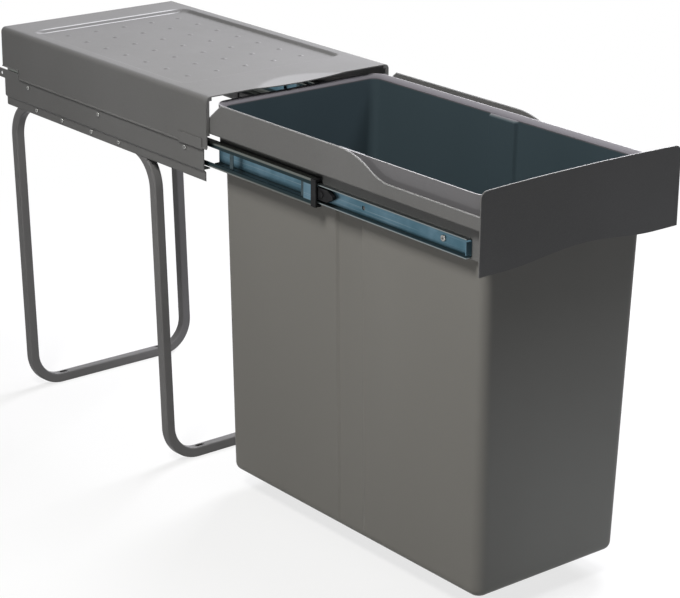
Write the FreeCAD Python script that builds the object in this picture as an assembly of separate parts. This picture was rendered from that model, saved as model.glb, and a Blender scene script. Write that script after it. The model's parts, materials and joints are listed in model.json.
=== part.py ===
import FreeCAD, Part
import math
import os

# Pull-out waste bin on telescopic slides, drawn with the drawer open, in millimetres.
# The origin is on the floor, midway between the four fixing slots of the leg tubes.
# +Y is the rear, the drawer opens towards -Y, and -X is the left side.

# shared values
sheetThick = 1.2
holeClearance = 0.05
ballClearance = 0.05
overrun = 5.0

# cover: one folded sheet with a pressed tray
coverWidth = 255.0
coverLength = 425.0
coverTop = 463.0
coverFlange = 58.2
coverBend = 6.0
coverReturnWidth = 4.2
coverReturnHeight = 43.0
coverHookWidth = 3.2
coverHookHeight = 5.0
coverNotchLength = 37.0
coverNotchHeight = 10.2
traySideMargin = 15.5
trayFrontMargin = 64.0
trayRearMargin = 44.0
trayDepth = 3.5
traySlope = 2.2
trayCorner = 14.0
pipColumns = 5
pipRows = 7
pipRadius = 3.6
pipHeight = 0.8
pipFrontMargin = 37.8
pipRearMargin = 32.0
pipSideMargin = 32.0
scoopWidth = 126.0
scoopLength = 29.0
scoopDip = 2.2

# legs: two square tubes, each bent into a U that stands on the floor
tubeSide = 12.0
tubeWall = 1.2
tubeCorner = 2.0
legSetIn = 3.7
legFrontMargin = 97.0
legRearMargin = 28.0
legLean = 19.0
legSlideGap = 0.3
legTopBend = 44.0
legFootBend = 38.0
legRunGap = 4.0
slotSpacing = 148.0
slotLength = 12.0
slotWidth = 5.0

# side rails: folded strips that carry the cover, the slides and the legs
railFrontSetback = 8.0
railRearSetback = 2.0
railOverlap = 11.7
railStepGap = 0.1
railStepDrop = 2.6
railLip = 11.0
railBend = 2.0
railTailLength = 53.0
railTailRise = 6.2
railTailHeight = 11.0
railTailHole = 2.2
hookLength = 44.0
hookHeight = 11.0

# slides: three nested channels on each side
slideDrop = 64.5
memberThick = 1.2
memberBend = 1.6
cabinetHeight = 38.0
cabinetDepth = 9.0
cabinetFrontSetback = 10.0
cabinetRearSetback = 7.0
middleHeight = 29.5
middleSetIn = 2.6
middleDepth = 7.9
middleLength = 375.0
middleFrontReach = 175.0
middleWindowHeight = 17.5
middleWindowMargin = 12.0
drawerHeight = 20.0
drawerSetIn = 5.2
drawerDepth = 7.2
drawerFrontGap = 32.5
drawerTabHeight = 13.0
stopLength = 5.0
stopClearance = 0.4
bumperLength = 8.0
bumperWall = 2.4
cageThick = 0.7
cageBridge = 6.0
cageArmInset = 1.2
cageHoleClearance = 0.1
ballsPerRow = 8
outerCageLength = 135.0
outerCageSetback = 30.0
innerCageLength = 130.0
innerCageSetback = 12.0

# release levers on the drawer channels
leverLength = 26.0
leverTip = 9.0
leverHeight = 13.0
leverTipHeight = 3.0
leverThick = 4.6
leverGap = 0.3
leverAhead = 31.0
leverPinSetback = 18.0
leverPinRadius = 1.6
leverPinHead = 0.8

# drawer carriage: webs, wave panels, rear bar and front plate
webBelowSlide = 1.5
webShoulderRise = 2.0
webPanelGap = 1.9
webRearReach = 4.0
webTopMargin = 24.0
webFlangeWidth = 20.0
webFlangeRise = 3.0
panelSlideGap = 3.4
panelLowHeight = 15.2
panelHighHeight = 36.4
panelSetOut = 8.9
panelLipHeight = 9.1
panelBend = 1.8
panelRearShort = 8.5
panelLipReach = 24.0
panelChamferLength = 26.0
panelChamferDrop = 21.0
waveStartReach = 220.0
waveLength = 80.0
waveUpperShare = 0.62
plateOverhang = 6.5
plateRise = 5.0
plateHeight = 85.6
plateThick = 1.5
plateGap = 11.1
plateCrown = 2.0
plateArch = 7.5
plateCorner = 8.0
plateEndShare = 0.78
plateFlankShare = 0.36
plateFlankRiseShare = 0.68
rearBarHeight = 9.0
rearBarDrop = 3.5
rearBarTab = 28.0
rearBarGap = 6.8

# fasteners
screwRadius = 1.6
screwHeadRadius = 2.6
drawerScrewHeadRadius = 3.4
screwHeadHeight = 1.4
crossWidth = 0.8
crossLength = 3.2
crossDepth = 0.8
rivetRadius = 1.5
rivetHeadRadius = 2.6
rivetHeadHeight = 1.0
rivetRise = 5.1
studRadius = 2.5
studLength = 9.0
nutHeight = 4.0
nutWidth = 8.0
studInset = 12.0
studShares = (0.225, 0.7)
railScrewShares = (0.1, 0.506, 0.867)
legScrewShares = (0.41, 0.79)
legScrewLength = 5.6
drawerScrewShares = (0.0968, 0.5936)
drawerScrewLength = 4.5
drawerHoleShare = 0.3951
drawerHoleRadius = 2.4
panelRivetShares = (0.1356, 0.3842, 0.6328, 0.8814)
barRivetReaches = (21.0, 9.0)

# bin: thin plastic box with a dished rim and a skirt
binBottom = 23.0
binRimSink = 3.3
binRimThick = 5.5
binRimLip = 1.0
binRimDip = 3.6
binSideGap = 3.0
binSideTaper = 11.0
binTopLength = 424.6
binFrontTaper = 7.5
binRearTaper = 1.0
binRearTail = 0.2
binWall = 2.2
binCorner = 12.0
binFootRound = 9.0
binRimOverhang = 7.0
binRimCorner = 19.0
binSkirtThick = 1.6
binSkirtClearance = 0.9
binSkirtHeight = 16.5
grooveOffset = -5.0
grooveMouth = 45.0
grooveFloor = 33.0
grooveDepth = 5.0
grooveFootDepth = 1.5

# planes worked out from the values above
legPitch = coverLength - legFrontMargin - legRearMargin
slotFoot = legPitch / 2
legSplit = legLean
coverFront = -slotFoot - legFrontMargin
coverRear = coverFront + coverLength
coverHalf = coverWidth / 2
coverBottom = coverTop - coverFlange
slideHeight = coverTop - slideDrop
slideFoot = slideHeight - cabinetHeight / 2
trayWidth = coverWidth - 2 * traySideMargin
trayLength = coverLength - trayFrontMargin - trayRearMargin
railOuter = coverHalf - sheetThick
railInner = railOuter - sheetThick
bandInner = railOuter - legSetIn
legSpread = 2 * bandInner - tubeSide
legRunHeight = slideFoot - legSlideGap - tubeSide / 2
railTop = coverBottom + railOverlap
railStepHeight = slideFoot - railStepGap
railTailTop = coverBottom + railTailRise
railTailBottom = railTailTop - railTailHeight
railBottom = legRunHeight - tubeSide / 2 - sheetThick
railFront = coverFront + railFrontSetback
railRear = coverRear - railRearSetback
railScrewSpots = [coverFront + share * coverLength for share in railScrewShares]
middleOuter = railInner - middleSetIn
middleFront = coverFront - middleFrontReach
drawerWeb = railInner - drawerSetIn - drawerDepth
webOuter = drawerWeb
webInner = webOuter - sheetThick
panelInner = webOuter + panelSetOut
panelBottom = slideHeight + cabinetHeight / 2 + panelSlideGap
panelLipTop = panelBottom + panelLipHeight
panelLowTop = panelBottom + panelLowHeight
panelHighTop = panelBottom + panelHighHeight
webBottom = slideHeight - drawerHeight / 2 - webBelowSlide
webUnderPanel = panelBottom - webPanelGap
webShoulder = panelLipTop + webShoulderRise
webFlangeBottom = webBottom + webFlangeRise
rivetHeight = panelBottom + rivetRise
studHeights = [webFlangeBottom + share * (webShoulder - webFlangeBottom) for share in studShares]
binTopWidth = 2 * (webInner - binSideGap)
binFootWidth = binTopWidth - 2 * binSideTaper
binRimWidth = 2 * (webOuter + binSkirtClearance + binSkirtThick)
binRear = coverFront + binRearTail
binFront = binRear - binTopLength
binCentre = (binFront + binRear) / 2
rimFront = binFront - binRimOverhang
rimRear = binRear + binRimOverhang
binRimTop = panelHighTop - binRimSink
rimUnder = binRimTop - binRimThick
plateRear = rimFront - plateGap
plateWidth = coverWidth + 2 * plateOverhang
plateTop = coverTop + plateRise
plateBottom = plateTop - plateHeight
rearBarBottom = rivetHeight - rearBarDrop
drawerFront = plateRear + drawerFrontGap
drawerRear = coverFront - webRearReach
drawerScrewSpots = [drawerFront + share * (drawerRear - drawerFront) for share in drawerScrewShares]
panelRivetSpots = [coverFront + share * (plateRear - coverFront) for share in panelRivetShares]
barFront = rimRear + rearBarGap
barRivetSpots = [barFront - reach for reach in barRivetReaches]


def vec(x, y, z):
    return FreeCAD.Vector(x, y, z)


def block(x0, x1, y0, y1, z0, z1):
    corner = vec(min(x0, x1), min(y0, y1), min(z0, z1))
    return Part.makeBox(abs(x1 - x0), abs(y1 - y0), abs(z1 - z0), corner)


def rodX(radius, x0, x1, y, z):
    return Part.makeCylinder(radius, x1 - x0, vec(x0, y, z), vec(1, 0, 0))


def rodY(radius, y0, y1, x, z):
    return Part.makeCylinder(radius, y1 - y0, vec(x, y0, z), vec(0, 1, 0))


def mirrored(shape):
    return shape.mirror(vec(0, 0, 0), vec(1, 0, 0))


def joined(shapes):
    return shapes[0].multiFuse(shapes[1:]).removeSplitter()


def save(name, shape):
    shape.exportStep("parts/" + name + ".step")


def savePair(name, shape):
    save(name + "_right", shape)
    save(name + "_left", mirrored(shape))


def saveBoth(name, shapes):
    save(name, Part.makeCompound(shapes + [mirrored(shape) for shape in shapes]))


def cornerArc(before, corner, after, radius):
    # tangent points and middle of the arc that rounds one corner, all in the XZ plane
    inward = (before - corner).normalize()
    outward = (after - corner).normalize()
    half = inward.getAngle(outward) / 2
    bisector = (inward + outward).normalize()
    centre = corner + bisector * (radius / math.sin(half))
    reach = radius / math.tan(half)
    return corner + inward * reach, centre, corner + outward * reach


def sheetSection(points, radius, thick):
    # face of a folded strip: straight runs of one thickness joined by round bends
    line = [vec(x, 0, z) for x, z in points]
    arcs = [cornerArc(*line[i - 1:i + 2], radius) for i in range(1, len(line) - 1)]
    stops = [line[0]] + [p for arc in arcs for p in (arc[0], arc[2])] + [line[-1]]
    sides = []
    for sign in (1, -1):
        edges = []
        for i in range(0, len(stops), 2):
            along = (stops[i + 1] - stops[i]).normalize()
            shift = vec(-along.z, 0, along.x) * (sign * thick / 2)
            if edges:
                first = edges[-1].valueAt(edges[-1].LastParameter)
                centre = arcs[i // 2 - 1][1]
                spread = (first - centre).Length
                middle = ((first - centre) + (stops[i] + shift - centre)).normalize() * spread
                edges.append(Part.Arc(first, centre + middle, stops[i] + shift).toShape())
            edges.append(Part.makeLine(stops[i] + shift, stops[i + 1] + shift))
        sides.append(edges)
    caps = [Part.makeLine(sides[0][n].valueAt(sides[0][n].ParameterRange[n]),
                          sides[1][n].valueAt(sides[1][n].ParameterRange[n])) for n in (0, -1)]
    wire = Part.Wire(Part.__sortEdges__(sides[0] + sides[1] + caps))
    return Part.Face(wire)


def foldedStrip(points, radius, thick, y0, y1):
    strip = sheetSection(points, radius, thick).extrude(vec(0, y1 - y0, 0))
    strip.translate(vec(0, y0, 0))
    return strip


def roundedLoop(halfX, y0, y1, corner, z):
    # level loop with round corners, centred on X
    bend = corner * (1 - math.sqrt(0.5))
    edges = []
    turns = ((halfX, y0, -1, 1), (halfX, y1, -1, -1), (-halfX, y1, 1, -1), (-halfX, y0, 1, 1))
    starts = []
    for i, (x, y, sx, sy) in enumerate(turns):
        alongX = vec(x + sx * corner, y, z)
        alongY = vec(x, y + sy * corner, z)
        first, last = (alongX, alongY) if i % 2 == 0 else (alongY, alongX)
        edges.append(Part.Arc(first, vec(x + sx * bend, y + sy * bend, z), last).toShape())
        starts.append((first, last))
    for i in range(4):
        edges.append(Part.makeLine(starts[i][1], starts[(i + 1) % 4][0]))
    return Part.Wire(Part.__sortEdges__(edges))


def roundedBlock(halfX, y0, y1, corner, z0, z1):
    return Part.Face(roundedLoop(halfX, y0, y1, corner, z0)).extrude(vec(0, 0, z1 - z0))


def outlineX(points, x0, x1):
    # flat plate cut to a YZ outline of straight lines
    loop = [vec(x0, y, z) for y, z in points]
    return Part.Face(Part.makePolygon(loop + loop[:1])).extrude(vec(x1 - x0, 0, 0))


def trayLoft(inset, top, bottom):
    front = coverFront + trayFrontMargin
    rear = coverRear - trayRearMargin
    half = trayWidth / 2
    low = inset + traySlope
    upper = roundedLoop(half - inset, front + inset, rear - inset, trayCorner - inset, top)
    lower = roundedLoop(half - low, front + low, rear - low, trayCorner - low, bottom)
    return Part.makeLoft([lower, upper], True, True)


def coverPips():
    rise = (pipRadius ** 2 + pipHeight ** 2) / (2 * pipHeight)
    level = coverTop - trayDepth
    rear = coverRear - trayRearMargin - pipRearMargin
    shell = block(-trayWidth, trayWidth, coverFront, coverRear, level, level + pipHeight + overrun)
    pips = []
    pitchX = (trayWidth - 2 * pipSideMargin) / (pipColumns - 1)
    pitchY = (trayLength - pipFrontMargin - pipRearMargin) / (pipRows - 1)
    for column in range(pipColumns):
        for row in range(pipRows):
            x = column * pitchX + pipSideMargin - trayWidth / 2
            ball = Part.makeSphere(rise, vec(x, rear - row * pitchY, level + pipHeight - rise))
            pips.append(ball.common(shell))
    return pips


def scooped(cover):
    # tilted barrel whose lowest line leaves the top face at the scoop's rear end
    radius = (scoopWidth / 2) ** 2 / (2 * scoopDip) + scoopDip / 2
    reach = scoopLength + overrun
    rise = vec(0, scoopLength, scoopDip).normalize()
    start = vec(0, coverFront, coverTop - scoopDip) + vec(0, -rise.z, rise.y) * radius - rise * reach
    hollow = Part.makeCylinder(radius, reach * 2, start, rise)
    skin = Part.makeCylinder(radius + sheetThick, reach * 2, start, rise)
    zone = block(-scoopWidth / 2, scoopWidth / 2, coverFront, coverFront + reach, coverBottom, coverTop)
    return joined([cover.cut(hollow), skin.cut(hollow).common(zone)])


def coverReturn():
    # narrow turned-in strip at the front end of one flange, with a short hook under the top
    outer = Part.makeBox(coverWidth, sheetThick, coverFlange, vec(-coverHalf, coverFront, coverBottom))
    tops = [edge for edge in outer.Edges if edge.BoundBox.YLength > sheetThick / 2
            and edge.BoundBox.ZMin > coverTop - sheetThick]
    outer = outer.makeFillet(coverBend, tops)
    inner = coverHalf - coverReturnWidth
    strip = block(inner, coverHalf, coverFront, coverFront + sheetThick, coverTop - coverReturnHeight, coverTop)
    hook = block(inner - coverHookWidth, coverHalf, coverFront, coverFront + sheetThick,
                 coverTop - coverHookHeight, coverTop)
    return outer.common(strip.fuse(hook))


def topCover():
    edge = coverHalf - sheetThick / 2
    top = coverTop - sheetThick / 2
    points = [(-edge, coverBottom), (-edge, top), (edge, top), (edge, coverBottom)]
    cover = foldedStrip(points, coverBend - sheetThick / 2, sheetThick, coverFront, coverRear)
    opening = trayLoft(0, coverTop, coverTop - trayDepth - sheetThick)
    tray = opening.cut(trayLoft(sheetThick, coverTop, coverTop - trayDepth))
    cover = scooped(joined([cover.cut(opening), tray]))
    notch = block(-coverWidth, coverWidth, coverRear - coverNotchLength, coverRear + overrun,
                  coverBottom - overrun, coverBottom + coverNotchHeight)
    hem = coverReturn()
    cover = joined([cover.cut(notch), hem, mirrored(hem)] + coverPips())
    save("top_cover", cover)


def sideRail():
    outer = railOuter - sheetThick / 2
    band = bandInner + sheetThick / 2
    foot = railBottom + sheetThick / 2
    step = railStepHeight
    points = [(outer, railTop), (outer, step), (band, step - railStepDrop), (band, foot),
              (band - railLip, foot)]
    rail = foldedStrip(points, railBend, sheetThick, railFront, railRear)
    rear = coverRear - coverNotchLength - overrun
    rail = rail.cut(block(railInner - overrun, coverHalf, rear, coverRear + overrun,
                          railTailTop, railTop + overrun))
    tailEnd = railRear + railTailLength - coverNotchLength
    tail = block(railInner, railOuter, rear, tailEnd, railTailBottom, railTailTop)
    tailMiddle = (railTailBottom + railTailTop) / 2
    tail = tail.cut(rodX(railTailHole, railInner - overrun, coverHalf, coverRear + overrun, tailMiddle))
    hookEnd = railFront + hookLength
    hookOuter = coverHalf + sheetThick
    ledge = block(railInner, hookOuter, railFront, hookEnd, coverBottom - sheetThick, coverBottom)
    hook = block(coverHalf, hookOuter, railFront, hookEnd, coverBottom - sheetThick, coverBottom + hookHeight)
    rail = joined([rail, tail, ledge, hook])
    lipEnd = slotFoot - legTopBend - tubeSide
    for start, stop in ((railFront - overrun, legLean - lipEnd), (legLean + lipEnd, railRear + overrun)):
        rail = rail.cut(block(bandInner - railLip * 2, bandInner, start, stop,
                              railBottom - overrun, legRunHeight))
    for y in railScrewSpots:
        rail = rail.cut(screwHole(railInner - overrun, coverHalf, y, slideHeight))
    for y in legScrewSpots(-slotFoot) + legScrewSpots(slotFoot):
        rail = rail.cut(screwHole(bandInner - sheetThick, coverHalf, y, legRunHeight))
    savePair("side_rail", rail)


def legScrewSpots(footY):
    # along the level run, from the top of the leg towards the split
    return [legLean + footY * (1 - share) for share in legScrewShares]


def screwHole(x0, x1, y, z):
    return rodX(screwRadius + holeClearance, x0, x1, y, z)


def bentTube(path, bends, side, corner):
    # square tube along straight runs with a round bend at each inner point
    along = (path[1] - path[0]).normalize()
    face = Part.Face(roundedLoop(side / 2, -side / 2, side / 2, corner, 0))
    face.rotate(vec(0, 0, 0), vec(1, 0, 0), 90)
    face.translate(path[0])
    here = path[0]
    runs = []
    for i, bend in enumerate(bends):
        corner = path[i + 1]
        onward = (path[i + 2] - corner).normalize()
        turn = along.getAngle(onward)
        reach = bend * math.tan(turn / 2)
        stop = corner - along * reach
        runs.append(face.extrude(stop - here))
        face.translate(stop - here)
        axis = along.cross(onward).normalize()
        centre = stop + axis.cross(along) * bend
        runs.append(face.revolve(centre, axis, math.degrees(turn)))
        face.rotate(centre, axis, math.degrees(turn))
        here = corner + onward * reach
        along = onward
    runs.append(face.extrude(path[-1] - here))
    return joined(runs)


def legTube(name, footY, runEnd):
    x = legSpread / 2
    topY = footY + legLean
    footZ = tubeSide / 2
    half = [vec(x, runEnd, legRunHeight), vec(x, topY, legRunHeight), vec(x, footY, footZ)]
    path = half + [vec(-p.x, p.y, p.z) for p in reversed(half)]
    bends = [legTopBend, legFootBend, legFootBend, legTopBend]
    bore = bentTube(path, bends, tubeSide - 2 * tubeWall, tubeCorner - tubeWall)
    tube = bentTube(path, bends, tubeSide, tubeCorner).cut(bore)
    floor = block(-legSpread, legSpread, footY - legPitch, footY + legPitch, -tubeSide, 0)
    tube = tube.cut(floor)
    for sign in (-1, 1):
        tube = tube.cut(floorSlot(sign * slotSpacing / 2, footY))
        for y in legScrewSpots(footY):
            wall = sorted((sign * x, sign * (x + tubeSide)))
            tube = tube.cut(screwHole(wall[0], wall[1], y, legRunHeight))
    save(name, tube)


def floorSlot(x, y):
    straight = (slotLength - slotWidth) / 2
    low = -overrun
    high = tubeSide + overrun
    slot = block(x - straight, x + straight, y - slotWidth / 2, y + slotWidth / 2, low, high)
    for end in (x - straight, x + straight):
        slot = slot.fuse(Part.makeCylinder(slotWidth / 2, high - low, vec(end, y, low)))
    return slot


def channelOut(outer, depth, height, y0, y1):
    # channel whose web is its outer face and whose flanges point inward
    web = outer - memberThick / 2
    high = slideHeight + height / 2 - memberThick / 2
    low = slideHeight - height / 2 + memberThick / 2
    points = [(outer - depth, high), (web, high), (web, low), (outer - depth, low)]
    return foldedStrip(points, memberBend, memberThick, y0, y1)


def cabinetMember():
    front = coverFront + cabinetFrontSetback
    rear = coverRear - cabinetRearSetback
    member = channelOut(railInner, cabinetDepth, cabinetHeight, front, rear)
    for y in railScrewSpots:
        member = member.cut(screwHole(railInner - cabinetDepth, coverHalf, y, slideHeight))
    savePair("slide_cabinet_member", member)
    inside = cabinetHeight / 2 - memberThick - stopClearance
    back = railInner - memberThick - stopClearance
    stop = block(railInner - cabinetDepth, back, rear - stopLength, rear,
                 slideHeight - inside, slideHeight + inside)
    savePair("slide_cabinet_stop", stop)


def middleMember():
    rear = middleFront + middleLength
    member = channelOut(middleOuter, middleDepth, middleHeight, middleFront, rear)
    half = middleWindowHeight / 2
    window = block(middleOuter - middleDepth, middleOuter + overrun, middleFront + middleWindowMargin,
                   rear - middleWindowMargin, slideHeight - half, slideHeight + half)
    savePair("slide_middle_member", member.cut(window))


def middleBumper():
    front = middleFront - bumperLength
    half = middleHeight / 2
    inner = middleOuter - middleDepth
    body = block(inner, middleOuter, front, middleFront, slideHeight - half, slideHeight + half)
    core = block(inner - overrun, middleOuter - bumperWall, front - overrun, middleFront + overrun,
                 slideHeight - half + bumperWall, slideHeight + half - bumperWall)
    savePair("slide_middle_bumper", body.cut(core))


def drawerMember():
    tip = drawerWeb + drawerDepth
    web = drawerWeb + memberThick / 2
    high = slideHeight + drawerHeight / 2 - memberThick / 2
    low = slideHeight - drawerHeight / 2 + memberThick / 2
    points = [(tip, high), (web, high), (web, low), (tip, low)]
    member = foldedStrip(points, memberBend, memberThick, drawerFront, drawerRear)
    half = drawerTabHeight / 2
    tab = block(drawerWeb, tip, drawerFront, drawerFront + memberThick, slideHeight - half, slideHeight + half)
    member = joined([member, tab])
    for y in drawerScrewSpots:
        member = member.cut(screwHole(webInner, railOuter, y, slideHeight))
    holeY = drawerFront + drawerHoleShare * (drawerRear - drawerFront)
    hole = rodX(drawerHoleRadius, webInner, railOuter, holeY, slideHeight)
    savePair("slide_drawer_member", member.cut(hole))


def ballCage(name, webOut, armTip, level, ballRadius, front, length):
    # thin bridge strips at both ends hold two long arms with a row of balls in each
    webIn = webOut - cageThick
    armHalf = cageThick / 2
    rear = front + length
    pieces = []
    balls = []
    for z in (slideHeight - level, slideHeight + level):
        pieces.append(block(armTip, webOut, front, rear, z - armHalf, z + armHalf))
    for start in (front, rear - cageBridge):
        pieces.append(block(webIn, webOut, start, start + cageBridge,
                            slideHeight - level - armHalf, slideHeight + level + armHalf))
    cage = joined(pieces)
    pitch = length / ballsPerRow
    middle = (webIn + armTip) / 2
    for z in (slideHeight - level, slideHeight + level):
        for n in range(ballsPerRow):
            y = front + (n + 0.5) * pitch
            balls.append(Part.makeSphere(ballRadius, vec(middle, y, z)))
            pocket = ballRadius + cageHoleClearance
            cage = cage.cut(Part.makeCylinder(pocket, ballRadius * 2, vec(middle, y, z - ballRadius)))
    savePair(name + "_ball_cage", cage)
    savePair(name + "_balls", Part.makeCompound(balls))


def ballCages():
    cabinetGap = cabinetHeight / 2 - memberThick - middleHeight / 2
    drawerGap = middleHeight / 2 - memberThick - drawerHeight / 2
    outerLevel = middleHeight / 2 + cabinetGap / 2
    innerLevel = drawerHeight / 2 + drawerGap / 2
    outerWeb = (railInner - memberThick + middleOuter + cageThick) / 2
    innerWeb = (middleOuter - memberThick + drawerWeb + drawerDepth + cageThick) / 2
    ballCage("outer", outerWeb, railInner - cabinetDepth + cageArmInset, outerLevel,
             cabinetGap / 2 - ballClearance, coverFront + outerCageSetback, outerCageLength)
    ballCage("inner", innerWeb, middleOuter - middleDepth + cageArmInset, innerLevel,
             drawerGap / 2 - ballClearance, middleFront + innerCageSetback, innerCageLength)


def releaseLever():
    face = drawerWeb + memberThick
    inner = face + leverGap
    front = middleFront - leverAhead
    rear = front + leverLength
    high = leverHeight / 2
    tip = leverTipHeight / 2
    points = [(front, -tip), (front + leverTip, -high), (rear, -high), (rear, high), (front + leverTip, high),
              (front, tip)]
    lever = outlineX([(y, slideHeight + z) for y, z in points], inner, inner + leverThick)
    y = front + leverPinSetback
    lever = lever.cut(rodX(leverPinRadius + holeClearance, face, inner + leverThick + overrun, y, slideHeight))
    savePair("release_lever", lever)
    headStart = inner + leverThick + leverGap
    pin = rodX(leverPinRadius, face, headStart, y, slideHeight)
    head = rodX(leverPinRadius * 2, headStart, headStart + leverPinHead, y, slideHeight)
    saveBoth("lever_pivot_pins", [pin.fuse(head).removeSplitter()])


def carriageSide():
    front = plateRear
    topFront = rimFront + webTopMargin
    topRear = rimRear - webTopMargin
    points = [(front, webBottom), (drawerRear, webBottom), (drawerRear, webUnderPanel),
              (barFront, webUnderPanel),
              (barFront, webShoulder), (topRear, webShoulder), (topRear, rimUnder), (topFront, rimUnder),
              (topFront, webShoulder), (front, webShoulder)]
    web = outlineX(points, webInner, webOuter)
    flange = block(webOuter - webFlangeWidth, webOuter, front, front + sheetThick, webFlangeBottom, webShoulder)
    web = joined([web, flange])
    for y in drawerScrewSpots:
        web = web.cut(screwHole(webInner - overrun, webOuter + overrun, y, slideHeight))
    for y in panelRivetSpots + barRivetSpots:
        web = web.cut(rivetHole(y))
    for z in studHeights:
        hole = studRadius + holeClearance
        web = web.cut(rodY(hole, front - overrun, front + overrun, webOuter - studInset, z))
    savePair("carriage_side", web)


def rivetHole(y):
    return rodX(rivetRadius + holeClearance, webInner - overrun, webOuter + overrun, y, rivetHeight)


def rivets(name, spots, inner, outer):
    pieces = []
    for y in spots:
        shank = rodX(rivetRadius, inner, outer, y, rivetHeight)
        heads = [rodX(rivetHeadRadius, inner - rivetHeadHeight, inner, y, rivetHeight),
                 rodX(rivetHeadRadius, outer, outer + rivetHeadHeight, y, rivetHeight)]
        pieces.append(joined([shank] + heads))
    saveBoth(name, pieces)


def waveArcs(startY, highZ, endY, lowZ):
    # a wide and a tight arc that lead from the high edge down to the low edge without a kink
    run = startY - endY
    drop = highZ - lowZ
    radius = (run ** 2 + drop ** 2) / (2 * drop)
    angle = math.asin(run / radius) / 2
    over = radius * math.sin(angle)
    down = radius * (1 - math.cos(angle))
    upper = waveUpperShare
    lower = 1 - upper
    middle = vec(panelInner, startY - run * upper, highZ - drop * upper)
    bulge = vec(panelInner, startY - over * upper, highZ - down * upper)
    hollow = vec(panelInner, endY + over * lower, lowZ + down * lower)
    first = Part.Arc(vec(panelInner, startY, highZ), bulge, middle)
    last = Part.Arc(middle, hollow, vec(panelInner, endY, lowZ))
    return [first.toShape(), last.toShape()]


def sidePanel():
    front = plateRear
    rear = barFront - panelRearShort
    waveStart = coverFront - waveStartReach
    waveEnd = waveStart - waveLength
    seam = panelLipTop
    x = panelInner
    outline = [vec(x, waveEnd, panelLowTop), vec(x, front, panelLowTop), vec(x, front, seam),
               vec(x, rear, seam),
               vec(x, rear, panelHighTop - panelChamferDrop), vec(x, rear - panelChamferLength, panelHighTop),
               vec(x, waveStart, panelHighTop)]
    edges = [Part.makeLine(a, b) for a, b in zip(outline, outline[1:])]
    edges += waveArcs(waveStart, panelHighTop, waveEnd, panelLowTop)
    upper = Part.Face(Part.Wire(Part.__sortEdges__(edges))).extrude(vec(sheetThick, 0, 0))
    outer = panelInner + sheetThick / 2
    lip = webOuter + sheetThick / 2
    foot = panelBottom + sheetThick / 2
    points = [(outer, seam), (outer, foot), (lip, foot), (lip, panelLipTop)]
    lower = foldedStrip(points, panelBend, sheetThick, front, rear)
    clear = block(webOuter, panelInner - sheetThick, barFront - panelLipReach, rear + overrun,
                  foot + panelBend, panelLipTop + overrun)
    panel = joined([upper, lower.cut(clear)])
    for y in panelRivetSpots:
        panel = panel.cut(rodX(rivetRadius + holeClearance, webInner, panelInner - sheetThick, y, rivetHeight))
    savePair("side_panel", panel)


def rearBar():
    rear = barFront + sheetThick
    top = rearBarBottom + rearBarHeight
    bar = block(-webInner, webInner, barFront, rear, rearBarBottom, top)
    tab = block(webInner - sheetThick, webInner, rear - rearBarTab, rear, rearBarBottom, top)
    for y in barRivetSpots:
        tab = tab.cut(rivetHole(y))
    save("carriage_rear_bar", joined([bar, tab, mirrored(tab)]))
    rivets("rear_bar_rivets", barRivetSpots, webInner - sheetThick, webOuter)


def frontPlate():
    front = plateRear - plateThick
    half = plateWidth / 2
    shoulder = plateTop - plateCrown
    bend = plateCorner * (1 - math.sqrt(0.5))
    crown = Part.Arc(vec(-half + plateCorner, front, shoulder), vec(0, front, plateTop),
                     vec(half - plateCorner, front, shoulder)).toShape()
    edges = [crown]
    for sign in (-1, 1):
        top = vec(sign * (half - plateCorner), front, shoulder)
        side = vec(sign * half, front, shoulder - plateCorner)
        edges.append(Part.Arc(top, vec(sign * (half - bend), front, shoulder - bend), side).toShape())
        edges.append(Part.makeLine(side, vec(sign * half, front, plateBottom)))
    flank = plateArch * plateFlankRiseShare
    arch = [(-half, 0), (-half * plateEndShare, 0), (-half * plateFlankShare, flank), (0, plateArch),
            (half * plateFlankShare, flank), (half * plateEndShare, 0), (half, 0)]
    curve = Part.BSplineCurve()
    curve.interpolate([vec(x, front, plateBottom + z) for x, z in arch])
    edges.append(curve.toShape())
    plate = Part.Face(Part.Wire(Part.__sortEdges__(edges))).extrude(vec(0, plateThick, 0))
    save("front_plate", plate)


def plateFixings():
    studs = []
    nuts = []
    x = webOuter - studInset
    seat = plateRear + sheetThick
    for z in studHeights:
        studs.append(rodY(studRadius, plateRear, plateRear + studLength, x, z))
        corner = nutWidth / math.sqrt(3)
        hexagon = [vec(x + corner * math.cos(n * math.pi / 3), seat, z + corner * math.sin(n * math.pi / 3))
                   for n in range(7)]
        nut = Part.Face(Part.makePolygon(hexagon)).extrude(vec(0, nutHeight, 0))
        nuts.append(nut.cut(rodY(studRadius + holeClearance, seat - overrun, seat + nutHeight + overrun, x, z)))
    saveBoth("plate_studs", studs)
    saveBoth("plate_nuts", nuts)


def crossScrew(headFace, shankEnd, y, z, headRadius):
    # pan-head screw along X with a cross recess in its outer end
    top = headFace + screwHeadHeight
    shank = rodX(screwRadius, shankEnd, headFace, y, z)
    head = rodX(headRadius, headFace, top, y, z)
    rims = [edge for edge in head.Edges if edge.BoundBox.XMin > headFace + screwHeadHeight / 2]
    head = head.makeFillet(screwHeadHeight / 2, rims)
    screw = joined([shank, head])
    for long, wide in ((crossLength, crossWidth), (crossWidth, crossLength)):
        screw = screw.cut(block(top - crossDepth, top + overrun, y - long / 2, y + long / 2,
                                z - wide / 2, z + wide / 2))
    return screw


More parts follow.
